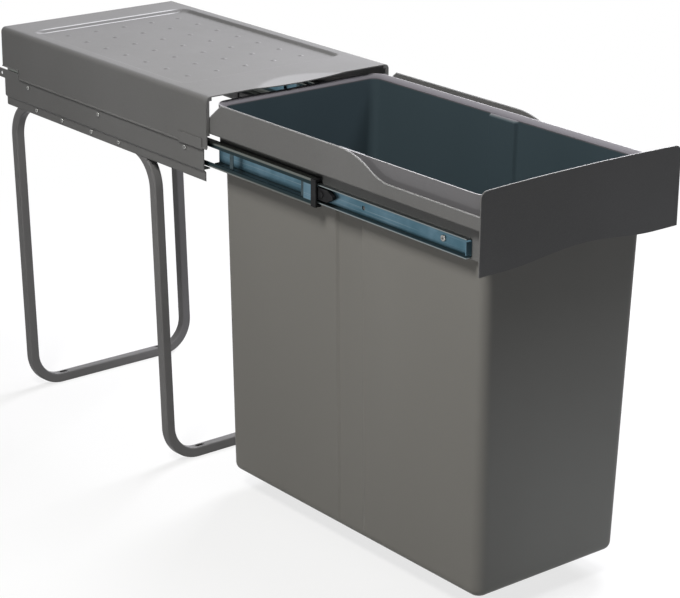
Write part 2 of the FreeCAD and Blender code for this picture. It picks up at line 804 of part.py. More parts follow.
def screws():
    sleeve = railInner - memberThick + holeClearance
    saveBoth("rail_slide_screws", [crossScrew(railOuter, sleeve, y, slideHeight, screwHeadRadius)
                                   for y in railScrewSpots])
    band = bandInner + sheetThick
    end = band - legScrewLength
    saveBoth("leg_screws", [crossScrew(band, end, y, legRunHeight, screwHeadRadius)
                            for y in legScrewSpots(-slotFoot) + legScrewSpots(slotFoot)])
    head = drawerWeb + memberThick
    end = head - drawerScrewLength
    saveBoth("drawer_slide_screws", [crossScrew(head, end, y, slideHeight, drawerScrewHeadRadius)
                                     for y in drawerScrewSpots])


def binLoop(z, inset):
    # level loop of the tapering bin wall at one height, drawn in by the inset
    rest = (binRimTop - z) / (binRimTop - binBottom)
    halfX = binTopWidth / 2 - binSideTaper * rest - inset
    front = binFront + binFrontTaper * rest + inset
    rear = binRear - binRearTaper * rest - inset
    return roundedLoop(halfX, front, rear, binCorner - inset, z)


def binBody(inset, bottom):
    body = Part.makeLoft([binLoop(bottom, inset), binLoop(binRimTop, inset)], True, True)
    foot = [edge for edge in body.Edges if edge.BoundBox.ZMax < bottom + binWall / 2]
    return body.makeFillet(binFootRound - inset, foot)


def sideGroove(inset):
    # upright trench at mid length that follows the wall's taper and runs out shallow at the foot
    loops = []
    for z, width, depth in ((binBottom - overrun, binFootWidth, grooveFootDepth),
                            (binRimTop + overrun, binTopWidth, grooveDepth)):
        wall = width / 2 - inset
        deep = wall - depth
        mouth = grooveMouth / 2 + inset
        floor = grooveFloor / 2 + inset
        y = binCentre + grooveOffset
        plan = [(deep, y - floor), (wall, y - mouth), (wall + overrun, y - mouth), (wall + overrun, y + mouth),
                (wall, y + mouth), (deep, y + floor), (deep, y - floor)]
        loops.append(Part.makePolygon([vec(a, b, z) for a, b in plan]))
    return Part.makeLoft(loops, True, True)


def rimDish():
    # hollow that slopes from the rim's narrow lip down to the inside of the wall
    lip = binRimLip
    upper = roundedLoop(binRimWidth / 2 - lip, rimFront + lip, rimRear - lip, binRimCorner - lip, binRimTop)
    return Part.makeLoft([binLoop(binRimTop - binRimDip, binWall), upper], True, True)


def binShell():
    groove = sideGroove(0)
    pilaster = sideGroove(binWall)
    outer = binBody(0, binBottom).cut(groove).cut(mirrored(groove))
    hollow = binBody(binWall, binBottom + binWall).cut(pilaster).cut(mirrored(pilaster))
    half = binRimWidth / 2
    rim = roundedBlock(half, rimFront, rimRear, binRimCorner, rimUnder, binRimTop)
    low = rimUnder - binSkirtHeight
    skirt = roundedBlock(half, rimFront, rimRear, binRimCorner, low, rimUnder)
    inset = binSkirtThick
    core = roundedBlock(half - inset, rimFront + inset, rimRear - inset, binRimCorner - inset, low, rimUnder)
    skirt = skirt.cut(core)
    save("bin", joined([outer, rim, skirt]).cut(hollow).cut(rimDish()))


os.makedirs("parts", exist_ok=True)
topCover()
sideRail()
legTube("leg_tube_front", -slotFoot, legSplit - legRunGap / 2)
legTube("leg_tube_rear", slotFoot, legSplit + legRunGap / 2)
cabinetMember()
middleMember()
middleBumper()
drawerMember()
ballCages()
releaseLever()
carriageSide()
sidePanel()
rivets("panel_rivets", panelRivetSpots, webInner, webOuter + sheetThick)
rearBar()
frontPlate()
plateFixings()
screws()
binShell()
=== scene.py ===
import json
import math
import bpy
import numpy as np
from mathutils import Matrix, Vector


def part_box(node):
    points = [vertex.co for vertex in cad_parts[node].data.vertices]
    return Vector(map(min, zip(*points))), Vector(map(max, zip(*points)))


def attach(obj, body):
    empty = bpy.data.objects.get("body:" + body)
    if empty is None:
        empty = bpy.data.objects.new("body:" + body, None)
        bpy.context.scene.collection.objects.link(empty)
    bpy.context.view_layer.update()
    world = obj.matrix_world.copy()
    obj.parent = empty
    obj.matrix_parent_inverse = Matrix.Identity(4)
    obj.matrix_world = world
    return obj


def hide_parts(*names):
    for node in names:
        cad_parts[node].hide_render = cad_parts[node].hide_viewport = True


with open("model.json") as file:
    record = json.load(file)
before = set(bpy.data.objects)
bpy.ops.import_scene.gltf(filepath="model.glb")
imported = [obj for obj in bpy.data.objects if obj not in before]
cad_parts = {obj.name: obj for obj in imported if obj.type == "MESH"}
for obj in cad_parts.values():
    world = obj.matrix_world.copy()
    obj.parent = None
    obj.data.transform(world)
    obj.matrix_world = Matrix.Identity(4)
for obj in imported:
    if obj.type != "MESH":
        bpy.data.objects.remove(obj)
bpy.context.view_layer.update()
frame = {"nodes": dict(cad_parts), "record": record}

scene = bpy.context.scene
nodes = frame["nodes"]
print("frame loaded:", len(nodes), "nodes")


class Wire:
    # one node socket and its tree; sums on it add Math nodes
    def __init__(self, tree, socket):
        self.tree = tree
        self.socket = socket

    @staticmethod
    def add(tree, kind, settings, links, out=0):
        node = tree.nodes.new(kind)
        for key, value in settings.items():
            setattr(node, key, value)
        for key, value in links.items():
            if isinstance(value, Wire):
                tree.links.new(value.socket, node.inputs[key])
            else:
                node.inputs[key].default_value = value
        return Wire(tree, node.outputs[out])

    def math(self, operation, other=0.0, swap=False):
        pair = (other, self) if swap else (self, other)
        return Wire.add(self.tree, "ShaderNodeMath", {"operation": operation}, {0: pair[0], 1: pair[1]})

    def __add__(self, other):
        return self.math("ADD", other)

    __radd__ = __add__

    def __sub__(self, other):
        return self.math("SUBTRACT", other)

    def __rsub__(self, other):
        return self.math("SUBTRACT", other, True)

    def __mul__(self, other):
        return self.math("MULTIPLY", other)

    __rmul__ = __mul__

    def __truediv__(self, other):
        return self.math("DIVIDE", other)

    def __rtruediv__(self, other):
        return self.math("DIVIDE", other, True)

    def __pow__(self, other):
        return self.math("POWER", other)

    def __abs__(self):
        return self.math("ABSOLUTE")

    def most(self, other):
        return self.math("MAXIMUM", other)

    def step(self, low, high):
        # 0 below low, 1 above high, smooth between
        return Wire.add(self.tree, "ShaderNodeMapRange", {"interpolation_type": "SMOOTHSTEP"},
                        {0: self, 1: low, 2: high})

    def mix(self, first, second):
        # colour blend with this value as the factor; a Mix node's colours are inputs 6 and 7 and output 2
        pair = [(*c, 1.0) if isinstance(c, tuple) else c for c in (first, second)]
        return Wire.add(self.tree, "ShaderNodeMix", {"data_type": "RGBA"},
                        {0: self, 6: pair[0], 7: pair[1]}, 2)


def newFinish(name, constants):
    # fresh material with its shader's constant sockets set; gives its tree, shader and Object coordinates too
    mat = bpy.data.materials.new(name)
    mat.use_nodes = True
    shader = mat.node_tree.nodes["Principled BSDF"]
    for key, value in constants.items():
        shader.inputs[key].default_value = value
    place = Wire.add(mat.node_tree, "ShaderNodeTexCoord", {}, {}, "Object")
    return mat, mat.node_tree, shader, place


def feed(shader, wires):
    for key, wire in wires.items():
        wire.tree.links.new(wire.socket, shader.inputs[key])


def noise(tree, place, look):
    # look is scale, detail and roughness
    scale, detail, roughness = look
    return Wire.add(tree, "ShaderNodeTexNoise", {},
                    {"Vector": place, "Scale": scale, "Detail": detail, "Roughness": roughness})


def stretched(tree, place, scale):
    return Wire.add(tree, "ShaderNodeMapping", {}, {"Vector": place, "Scale": scale})


def axes(tree, place):
    return [Wire.add(tree, "ShaderNodeSeparateXYZ", {}, {0: place}, n) for n in range(3)]


def marked(tree, label):
    # a point attribute of the mesh, 0 where the mesh has none
    return Wire.add(tree, "ShaderNodeAttribute", {"attribute_name": label}, {}, "Fac")


def bump(tree, height, look):
    # look is strength and distance
    strength, distance = look
    return Wire.add(tree, "ShaderNodeBump", {},
                    {"Strength": strength, "Distance": distance, "Height": height})


def directlySeen(tree):
    # 1 for rays from the camera, mirrored or passed through, 0 for scattered light
    camera, mirrored, passed = [Wire.add(tree, "ShaderNodeLightPath", {}, {}, "Is " + kind + " Ray")
                                for kind in ("Camera", "Glossy", "Transmission")]
    return camera.most(mirrored).most(passed)


# the near-white line colour is a painted highlight, laid where points are marked
paintLook = {"tone": (0.160, 0.159, 0.159), "pale": (0.198, 0.196, 0.198), "dark": (0.143, 0.142, 0.141),
             "paintedHighlight": (0.80, 0.80, 0.82), "gloss": 0.08, "rough": 0.40, "rubRough": 0.08, "flakeRough": 0.04,
             "cloud": (7.0, 3.0, 0.5), "cloudStep": (0.25, 0.75), "rub": (60.0, 4.0, 0.6),
             "flakeScale": 2600.0, "flakeStep": (0.72, 1.0), "flakeShare": 0.55,
             "peel": (700.0, 1.0, 0.5), "peelBump": (0.25, 0.00006)}
tubeLook = {**paintLook, "tone": (0.188, 0.185, 0.188), "dark": (0.168, 0.166, 0.168), "gloss": 0.05,
            "rough": 0.34}


def paintFinish(name, look):
    # baked lacquer: soft cloudy tone, fine flakes, a faint orange-peel bump and painted highlight lines where
    # marked
    mat, tree, shader, place = newFinish(name, {"Metallic": 0.0, "Specular IOR Level": look["gloss"]})
    cloud = noise(tree, place, look["cloud"])
    flake = Wire.add(tree, "ShaderNodeTexVoronoi", {"feature": "F1"},
                     {"Vector": place, "Scale": look["flakeScale"]}, "Color")
    grain = Wire.add(tree, "ShaderNodeSeparateColor", {}, {0: flake}, "Red")
    tone = cloud.step(*look["cloudStep"]).mix(look["dark"], look["tone"])
    tone = (grain.step(*look["flakeStep"]) * look["flakeShare"]).mix(tone, look["pale"])
    # painted highlight where the points are marked
    tone = marked(tree, "paintedHighlightLine").mix(tone, look["paintedHighlight"])
    peel = noise(tree, place, look["peel"])
    rub = noise(tree, place, look["rub"])
    feed(shader, {"Base Color": tone,
                  "Roughness": look["rough"] + rub * look["rubRough"] + grain * look["flakeRough"],
                  "Normal": bump(tree, peel, look["peelBump"])})
    return mat


# the race colour is painted shade of the ball races; the flank colour is a painted highlight on the lips
zincLook = {"tone": (0.115, 0.200, 0.255), "blue": (0.060, 0.130, 0.170), "pale": (0.260, 0.330, 0.370),
            "raceShade": (0.010, 0.024, 0.028), "flank": (0.135, 0.145, 0.135), "middle": 0.3985,
            "raceFrom": 0.0078, "raceTo": 0.0118, "raceFade": 0.0012, "flankFade": 0.0010,
            "lines": (1.0, 3.0, 0.5), "lineStretch": (900.0, 6.0, 900.0), "lineStep": (0.55, 0.85),
            "cloud": (22.0, 3.0, 0.6), "cloudStep": (0.3, 0.7),
            "rough": 0.24, "lineRough": 0.16, "cloudRough": 0.06, "lineBump": (0.12, 0.00005)}
# on the drawer slide the painted race shade is narrower and the lips' painted highlight paler
drawerZincLook = {**zincLook, "raceFrom": 0.0070, "raceTo": 0.0084, "flank": (0.240, 0.270, 0.275)}


def zincFinish(name, look):
    # bright zinc plate: bluish clouds and fine drawn lines along Y; painted shade darkens two bands, the ball
    # races, either side of the slide's middle height, and the flanks beyond them take a flat grey as a
    # painted highlight on the lips
    mat, tree, shader, place = newFinish(name, {"Metallic": 1.0})
    lines = noise(tree, stretched(tree, place, look["lineStretch"]), look["lines"])
    cloud = noise(tree, place, look["cloud"])
    tone = cloud.step(*look["cloudStep"]).mix(look["blue"], look["tone"])
    tone = lines.step(*look["lineStep"]).mix(tone, look["pale"])
    away = abs(axes(tree, place)[2] - look["middle"])
    # painted shade over the race bands, then a painted highlight on the flanks beyond them
    tone = away.step(look["raceFrom"], look["raceFrom"] + look["raceFade"]).mix(tone, look["raceShade"])
    tone = away.step(look["raceTo"], look["raceTo"] + look["flankFade"]).mix(tone, look["flank"])
    feed(shader, {"Base Color": tone,
                  "Roughness": look["rough"] + lines * look["lineRough"] + cloud * look["cloudRough"],
                  "Normal": bump(tree, lines, look["lineBump"])})
    return mat


steelLook = {"tone": (0.34, 0.34, 0.33), "dull": (0.16, 0.16, 0.16), "rough": 0.20, "spotRough": 0.15,
             "spots": (420.0, 3.0, 0.6), "spotStep": (0.45, 0.75), "spotBump": (0.1, 0.00004)}
# the cage strip's steel is darkened to blue-black as painted shade inside the slide
shadedCageLook = {**steelLook, "tone": (0.050, 0.075, 0.085), "dull": (0.030, 0.045, 0.052), "rough": 0.32}
ballLook = {**steelLook, "tone": (0.60, 0.61, 0.62), "dull": (0.45, 0.46, 0.47), "rough": 0.10}


def steelFinish(name, look):
    # plain bright steel with small dull spots
    mat, tree, shader, place = newFinish(name, {"Metallic": 1.0})
    spots = noise(tree, place, look["spots"])
    feed(shader, {"Base Color": spots.step(*look["spotStep"]).mix(look["tone"], look["dull"]),
                  "Roughness": look["rough"] + spots * look["spotRough"],
                  "Normal": bump(tree, spots, look["spotBump"])})
    return mat


blackLook = {"tone": (0.008, 0.008, 0.009), "lipShine": (0.020, 0.020, 0.021), "gloss": 0.12,
             "rough": 0.40, "grainRough": 0.2, "patch": (90.0, 2.0, 0.5), "patchStep": (0.4, 0.8),
             "grain": (1500.0, 2.0, 0.5), "grainBump": (0.3, 0.00006)}


def blackFinish(name, look):
    # moulded black plastic with a fine spark grain
    mat, tree, shader, place = newFinish(name, {"Specular IOR Level": look["gloss"]})
    grain = noise(tree, place, look["grain"])
    patch = noise(tree, place, look["patch"])
    feed(shader, {"Base Color": patch.step(*look["patchStep"]).mix(look["tone"], look["lipShine"]),
                  "Roughness": look["rough"] + grain * look["grainRough"],
                  "Normal": bump(tree, grain, look["grainBump"])})
    return mat


# the inside colours are painted shade, and the lip colour a painted highlight
binLook = {"tone": (0.202, 0.196, 0.184), "pale": (0.218, 0.212, 0.200), "insideShade": (0.046, 0.068, 0.080),
           "insideShadePale": (0.056, 0.081, 0.095), "rim": (0.112, 0.106, 0.118), "lip": (0.46, 0.45, 0.47),
           "skirt": (0.166, 0.163, 0.172), "gloss": 0.08, "coat": 0.35, "coatRough": 0.25,
           "rough": 0.42, "grainRough": 0.14, "flow": (1.0, 3.0, 0.5), "flowStretch": (4.0, 4.0, 1.2),
           "flowStep": (0.3, 0.7), "grain": (1700.0, 2.0, 0.5), "grainBump": (0.25, 0.00005)}


def binFinish(name, look):
    # moulded plastic: fine spark grain and slow flow clouds; attributes mark the inner skin, darkened with
    # painted shade, the outer skirt, the cooler rim and its lip, lightened with a painted highlight
    mat, tree, shader, place = newFinish(name, {"Specular IOR Level": look["gloss"],
                                                "Coat Roughness": look["coatRough"]})
    flow = noise(tree, stretched(tree, place, look["flowStretch"]), look["flow"]).step(*look["flowStep"])
    grain = noise(tree, place, look["grain"])
    labels = ("innerSkin", "collar", "ledge", "paintedLipHighlight")
    inner, collar, ledge, lipShine = [marked(tree, label) for label in labels]
    outer = collar.mix(flow.mix(look["tone"], look["pale"]), look["skirt"])
    # the lip takes a painted highlight
    outer = lipShine.mix(ledge.mix(outer, look["rim"]), look["lip"])
    # the inner skin takes painted shade
    feed(shader, {"Base Color": inner.mix(outer, flow.mix(look["insideShade"], look["insideShadePale"])),
                  "Roughness": look["rough"] + grain * look["grainRough"],
                  "Coat Weight": inner * look["coat"],
                  "Normal": bump(tree, grain, look["grainBump"])})
    return mat


finishes = {
    "grey_paint": paintFinish("lacquered_steel", paintLook),
    "zinc_steel": zincFinish("zinc_plated_steel", zincLook),
    "cage_steel": steelFinish("cage_strip", shadedCageLook),
    "ball_steel": steelFinish("polished_balls", ballLook),
    "fastener_steel": steelFinish("screw_steel", steelLook),
    "black_plastic": blackFinish("black_moulding", blackLook),
    "bin_plastic": binFinish("bin_moulding", binLook),
}
# nodes whose names start so have their own variant of their slot's finish
special = {"slide_drawer": zincFinish("zinc_plated_drawer_slide", drawerZincLook),
           "leg_tube": paintFinish("lacquered_tube", tubeLook)}
for entry in frame["record"]["subparts"]:
    finish = finishes[entry["material_slot"]]
    for start, own in special.items():
        finish = own if entry["node"].startswith(start) else finish
    for slot in nodes[entry["node"]].material_slots:
        slot.material = finish
print("finishes on CAD nodes")


def smooth(value, low, high):
    # 0 below low, 1 above high, an S curve between
    share = np.clip((value - low) / (high - low), 0.0, 1.0)
    return share * share * (3.0 - 2.0 * share)


def unit(vector):
    return vector / np.linalg.norm(vector)


def roundedLine(points, radii, steps, padShare=1.3):
    # polyline in a plane whose inner corners become arcs, with one support point beyond each end of an arc
    line = np.array(points, float)
    runs = [line[:1]]
    for before, corner, after, radius in zip(line, line[1:], line[2:], radii):
        back, onward = unit(before - corner), unit(after - corner)
        half = np.arccos(np.clip(back @ onward, -1.0, 1.0)) / 2.0
        centre = corner + unit(back + onward) * radius / np.sin(half)
        turn = np.linspace(-1.0, 1.0, steps)[:, None] * (np.pi / 2.0 - half)
        arc = centre + radius * (np.cos(turn) * unit(corner - centre) + np.sin(turn) * unit(onward - back))
        pad = padShare * radius / np.tan(half)
        runs += [corner[None] + back * pad, arc, corner[None] + onward * pad]
    return np.concatenate(runs + [line[-1:]])


def gridFaces(rows, columns, closed):
    # quads between neighbours in a point grid; a closed grid joins its last column to its first
    span = columns if closed else columns - 1
    low = np.arange(rows - 1)[:, None] * columns
    here = np.arange(span)[None, :]
    there = (here + 1) % columns
    return np.stack((low + here, low + columns + here, low + columns + there, low + there), -1).reshape(-1, 4)


def newPiece(name, points, faces, slot, body, node):
    # a smooth mesh that rides on a body and stands for a CAD node, or is an added piece where node is None
    mesh = bpy.data.meshes.new(name)
    mesh.from_pydata(points.tolist(), [], faces)
    mesh.polygons.foreach_set("use_smooth", np.ones(len(mesh.polygons), bool))
    mesh.update()
    piece = bpy.data.objects.new(name, mesh)
    scene.collection.objects.link(piece)
    mesh.materials.append(finishes[slot])
    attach(piece, body)
    if node:
        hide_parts(node)
    return piece


def markPoints(piece, label, values):
    attribute = piece.data.attributes.new(label, "FLOAT", "POINT")
    attribute.data.foreach_set("value", np.ravel(values).astype(np.float32))


def thicken(piece, thickness):
    wall = piece.modifiers.new("sheetWall", "SOLIDIFY")
    wall.thickness = thickness
    wall.offset = -1.0


def rollEdges(piece, width, segments=2, leastTurn=40.0):
    # rounds the edges where the surface turns by more than leastTurn degrees
    bevel = piece.modifiers.new("rolledEdge", "BEVEL")
    bevel.width = width
    bevel.segments = segments
    bevel.limit_method = "ANGLE"
    bevel.angle_limit = math.radians(leastTurn)
    bevel.harden_normals = True


binShape = {"wall": 0.0022, "corner": 0.012, "leastCorner": 0.0008, "rimOverhang": 0.0067, "lip": 0.001,
            "dip": 0.0036, "rimThick": 0.0055, "skirtHeight": 0.0165, "skirtThick": 0.0016,
            "sideTaper": 0.011, "frontTaper": 0.0075, "rearTaper": 0.001, "footRound": 0.009,
            "grooveShift": -0.005, "grooveMouth": 0.0225, "grooveFloor": 0.0188, "grooveDepth": 0.005,
            "grooveFoot": 0.0015, "grooveFrom": 0.004, "grooveFull": 0.06, "grooveLap": 0.0008,
            "grooveGap": 0.003, "floorSpan": 0.07, "brow": 0.0015, "roll": 0.0004, "ledgeGap": 0.0002,
            "ledgeFade": 0.0006,
            "skinFade": (0.0009, 0.0003), "collarFade": 0.0004, "flatGap": 0.0004,
            "lipFade": (0.0002, 0.0001), "lipDrop": (0.0004, 0.0001), "endMargin": 0.045, "acrossShare": 0.96,
            "rollSteps": 6, "cornerSteps": 9, "sideSteps": 26, "flankSteps": 9, "endSteps": 20}


def binPiece(look):
    # a rounded loop (first parameter) carried along the wall's profile (second): inner floor, inner wall,
    # dished rim, skirt, outer wall, outer floor; each profile point gives an outset from the tapering wall
    # and a height
    low, high = [np.array(corner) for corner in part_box("bin")]
    top, foot = high[2], low[2]
    over, wall, lip = look["rimOverhang"], look["wall"], look["lip"]
    under = top - look["rimThick"]
    skirtFoot = under - look["skirtHeight"]
    skirtIn = over - look["skirtThick"]
    dish = top - look["dip"]
    span, brow, steps = look["floorSpan"], look["brow"], look["rollSteps"]
    rim = [(-wall, dish - brow), (-wall, dish), (over - lip, top), (over, top), (over, skirtFoot),
           (skirtIn, skirtFoot), (skirtIn, under), (0.0, under), (0.0, under - brow)]
    profile = np.concatenate((
        roundedLine([(-span, foot + wall), (-wall, foot + wall), (-wall, dish - 2.0 * brow)],
                    [look["footRound"] - wall], steps),
        roundedLine(rim, [look["roll"]] * (len(rim) - 2), steps),
        roundedLine([(0.0, under - 2.0 * brow), (0.0, foot), (-span, foot)], [look["footRound"]], steps)))
    outset, height = profile[:, :1], profile[:, 1:]
    station = np.arange(len(profile))[:, None]
    rimPeak = np.argmax(height)
    ledge = np.where(station < rimPeak, dish, under) - look["ledgeGap"]
    trenchShare = 1.0 - smooth(height, ledge - look["ledgeFade"], ledge)
    trenchShare = trenchShare * smooth(height, foot + look["grooveFrom"], foot + look["grooveFull"])

    # loop samples: two long sides, two ends and four corners, counter-clockwise from above
    grooveY = (low[1] + high[1]) / 2.0 + look["grooveShift"]
    mouth, lap, margin = look["grooveMouth"], look["grooveLap"], look["endMargin"]
    flank = np.linspace(look["grooveFloor"] - lap, mouth + lap, look["flankSteps"])
    along = np.linspace(low[1] + margin, high[1] - margin, look["sideSteps"])
    along = along[np.abs(along - grooveY) > mouth + look["grooveGap"]]
    along = np.sort(np.concatenate((along, grooveY + flank, grooveY - flank)))
    across = np.linspace(-1.0, 1.0, look["endSteps"]) * look["acrossShare"]
    turn = np.linspace(0.0, np.pi / 2.0, look["cornerSteps"])
    ones = np.ones_like
    sideX = np.concatenate((ones(along), ones(turn), across[::-1], -ones(turn),
                            -ones(along), -ones(turn), across, ones(turn)))
    sideY = np.concatenate((along * 0, ones(turn), ones(across), ones(turn),
                            along * 0, -ones(turn), -ones(across), -ones(turn)))
    spot = np.concatenate((along, turn * 0, across * 0, turn * 0,
                           along[::-1], turn * 0, across * 0, turn * 0))
    swing = np.concatenate((along * 0, turn, across * 0, turn[::-1], along * 0, turn, across * 0, turn[::-1]))
    onSide = sideY == 0.0
    onEnd = np.abs(sideX) < 1.0

    # the loop at each height: walls lean by their tapers, corners follow the outset, grooves sink the sides
    rest = (top - height) / (top - foot)
    half = high[0] - over - look["sideTaper"] * rest + outset
    front = low[1] + over + look["frontTaper"] * rest - outset
    rear = high[1] - over - look["rearTaper"] * rest + outset
    corner = np.maximum(look["corner"] + outset, look["leastCorner"])
    trench = 1.0 - smooth(np.abs(spot - grooveY), look["grooveFloor"], mouth)
    sunk = look["grooveDepth"] + (look["grooveFoot"] - look["grooveDepth"]) * rest
    x = np.where(onSide, half - sunk * trench * trenchShare, half - corner + corner * np.cos(swing))
    x = np.where(onEnd, half - corner, x) * sideX
    bow = np.where(onEnd, corner, corner * np.sin(swing))
    y = np.where(sideY > 0, rear - corner + bow, front + corner - bow)
    y = np.where(onSide, np.clip(spot, front + corner, rear - corner), y)
    grid = np.stack((x, y, height + 0.0 * x), -1)
    rows, columns = grid.shape[:2]
    points = np.concatenate((grid.reshape(-1, 3), [grid[0].mean(0)], [grid[-1].mean(0)]))
    ring = np.arange(columns)
    last = (rows - 1) * columns
    inner = np.stack((ring, (ring + 1) % columns, ring * 0 + rows * columns), -1)
    outer = np.stack((last + (ring + 1) % columns, last + ring, ring * 0 + rows * columns + 1), -1)
    faces = gridFaces(rows, columns, True).tolist() + inner.tolist() + outer.tolist()
    piece = newPiece("bin_moulded_shell", points, faces, "bin_plastic", "bin", "bin")

    # marks for the finish, one value for each profile point and one for each floor's middle
    fadeLow, fadeHigh = look["skinFade"]
    # the inner skin, which the finish darkens with painted shade
    skin = (1.0 - smooth(height, dish - fadeLow, dish - fadeHigh)) * (station < rimPeak)
    collar = smooth(outset, skirtIn - look["collarFade"], skirtIn)
    flat = 1.0 * (height > dish - look["flatGap"]) * (outset > -2.0 * wall) * (station <= rimPeak)
    # a painted highlight along the rim's lip
    paintedLipHighlight = smooth(outset, over - lip - look["lipFade"][0], over - lip + look["lipFade"][1])
    paintedLipHighlight = paintedLipHighlight * smooth(height, top - look["lipDrop"][0], top - look["lipDrop"][1])
    for label, mask, ends in (("innerSkin", skin, [1.0, 0.0]), ("collar", collar, [0.0, 0.0]),
                              ("ledge", flat, [0.0, 0.0]), ("paintedLipHighlight", paintedLipHighlight, [0.0, 0.0])):
        markPoints(piece, label, np.concatenate((np.repeat(mask, columns), ends)))


binPiece(binShape)
print("bin made")

coverShape = {"sheet": 0.0012, "bend": 0.006, "flange": 0.0582, "notchLength": 0.037, "notchHeight": 0.0102,
              "notchGap": 0.0001, "traySide": 0.0155, "trayFront": 0.064, "trayRear": 0.044,
              "trayDepth": 0.0035, "traySlope": 0.0042, "trayCorner": 0.014, "trayShares": (-0.2, 1.2),
              "pipColumns": 5, "pipRows": 7, "pipRadius": 0.0036, "pipHeight": 0.0009, "pipPower": 1.3,
              "pipSpanShare": 1.25, "pipFront": 0.0378, "pipRear": 0.032, "pipSide": 0.032,
              "scoopHalf": 0.063, "scoopLength": 0.029, "scoopDip": 0.0022, "scoopSpanShare": 1.1,
              "hem": 0.0009, "hemShares": (1.0, 0.955), "flareShares": (0.96, 0.995),
              "flangeShares": (0.94, 0.0),
              # painted highlights on the tray's rear step and on the scoop are set below
              "paintedHighlight": 0.85, "highlightPlaces": (0.05, 1.0), "highlightWidth": 0.13, "highlightEndShares": (1.6, 0.6),
              "scoopHighlight": 0.10, "scoopHighlightDip": 0.0006, "edgeRoll": 0.0003,
              "topSteps": 41, "depthSteps": 60, "scoopSteps": 20, "pipSteps": 11, "traySteps": 10,
              "bendSteps": 9, "hemSteps": 6, "flangeSteps": 7, "digits": 5,
              "returnWidth": 0.0042, "returnHeight": 0.043, "returnSink": 0.0001, "returnLead": 0.0002,
              "returnRoll": 0.0004, "hookWidth": 0.0032, "hookHeight": 0.005}


def coverPiece(look):
    # folded sheet: a section of flange, bend, top, bend and flange (first parameter) along the depth (second)
    # the top sinks by an S curve inside the tray's rounded outline, and pips rise as round caps
    # the scoop is a tilted barrel, a plane dip less the square of the distance from the middle
    # the flanges flare at their hems
    low, high = [np.array(corner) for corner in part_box("top_cover")]
    halfWidth, bend = high[0], look["bend"]
    trayHalf = halfWidth - look["traySide"]
    trayFront, trayRear = low[1] + look["trayFront"], high[1] - look["trayRear"]
    pipX = np.linspace(look["pipSide"] - trayHalf, trayHalf - look["pipSide"], look["pipColumns"])
    pipY = np.linspace(trayFront + look["pipFront"], trayRear - look["pipRear"], look["pipRows"])
    cap = np.linspace(-1.0, 1.0, look["pipSteps"]) * look["pipSpanShare"] * look["pipRadius"]
    edge = np.linspace(*look["trayShares"], look["traySteps"]) * look["traySlope"]
    flat = halfWidth - bend
    topX = np.unique(np.round(np.concatenate((
        np.linspace(-flat, flat, look["topSteps"]), (pipX[:, None] + cap).ravel(),
        edge - trayHalf, trayHalf - edge)), look["digits"]))
    notchY = high[1] - look["notchLength"]
    scoopEnd = low[1] + look["scoopLength"] * look["scoopSpanShare"]
    depth = np.unique(np.round(np.concatenate((
        np.linspace(low[1], high[1], look["depthSteps"]), np.linspace(low[1], scoopEnd, look["scoopSteps"]),
        (pipY[:, None] + cap).ravel(), trayFront + edge, trayRear - edge,
        [notchY - look["notchGap"], notchY + look["notchGap"]])), look["digits"]))
    turn = np.linspace(0.0, np.pi / 2.0, look["bendSteps"])[1:-1]
    drop = np.concatenate((np.linspace(*look["hemShares"], look["hemSteps"]),
                           np.linspace(*look["flangeShares"], look["flangeSteps"])))
    flare = look["hem"] * smooth(drop, *look["flareShares"])
    sideX = np.concatenate((-halfWidth - flare, -flat - bend * np.cos(turn), topX, flat + bend * np.sin(turn),
                            halfWidth + flare[::-1]))[:, None]
    fall = np.concatenate((drop * 0 + bend, bend - bend * np.sin(turn), topX * 0, bend - bend * np.cos(turn),
                           drop * 0 + bend))[:, None]
    share = np.concatenate((drop, turn * 0, topX * 0, turn * 0, drop[::-1]))[:, None]
    y = depth[None, :]
    flange = look["flange"] - bend - np.where(y > notchY, look["notchHeight"], 0.0)
    corner = look["trayCorner"]
    middle, reach = (trayFront + trayRear) / 2.0, (trayRear - trayFront) / 2.0
    outX = np.abs(sideX) - trayHalf + corner
    outY = np.abs(y - middle) - reach + corner
    outside = np.hypot(np.maximum(outX, 0.0), np.maximum(outY, 0.0)) - corner
    outside = outside + np.minimum(np.maximum(outX, outY), 0.0)
    sink = look["trayDepth"] * smooth(-outside, 0.0, look["traySlope"])
    nearX = np.abs(sideX[..., None] - pipX).min(-1)
    nearY = np.abs(y[..., None] - pipY).min(-1)
    radial = np.clip(1.0 - (nearX ** 2 + nearY ** 2) / look["pipRadius"] ** 2, 0.0, 1.0)
    rise = look["pipHeight"] * radial ** look["pipPower"]
    curve = look["scoopDip"] / look["scoopHalf"] ** 2
    dip = look["scoopDip"] * (1.0 - (y - low[1]) / look["scoopLength"])
    scoop = np.maximum(dip - curve * sideX ** 2, 0.0)
    z = high[2] - fall - share * flange - sink + rise - scoop
    grid = np.stack((sideX + 0.0 * z, y + 0.0 * z, z), -1)
    piece = newPiece("cover_pressed_sheet", grid.reshape(-1, 3), gridFaces(*z.shape, False).tolist(),
                     "grey_paint", "frame", "top_cover")
    thicken(piece, look["sheet"])
    rollEdges(piece, look["edgeRoll"])

    # painted highlights: two lines along the tray's rear step, which fade towards its corners, and a
    # lightened scoop
    fromRear = (trayRear - y) / look["traySlope"]
    paintedHighlight = sum(np.exp(-((fromRear - place) / look["highlightWidth"]) ** 2) for place in look["highlightPlaces"])
    fadeFrom, fadeTo = [trayHalf - corner * part for part in look["highlightEndShares"]]
    paintedHighlight = paintedHighlight * (1.0 - smooth(np.abs(sideX), fadeFrom, fadeTo)) * look["paintedHighlight"]
    # the scoop is lightened by a painted highlight
    scoopShine = look["scoopHighlight"] * smooth(scoop, 0.0, look["scoopHighlightDip"])
    markPoints(piece, "paintedHighlightLine", np.maximum(paintedHighlight, scoopShine))


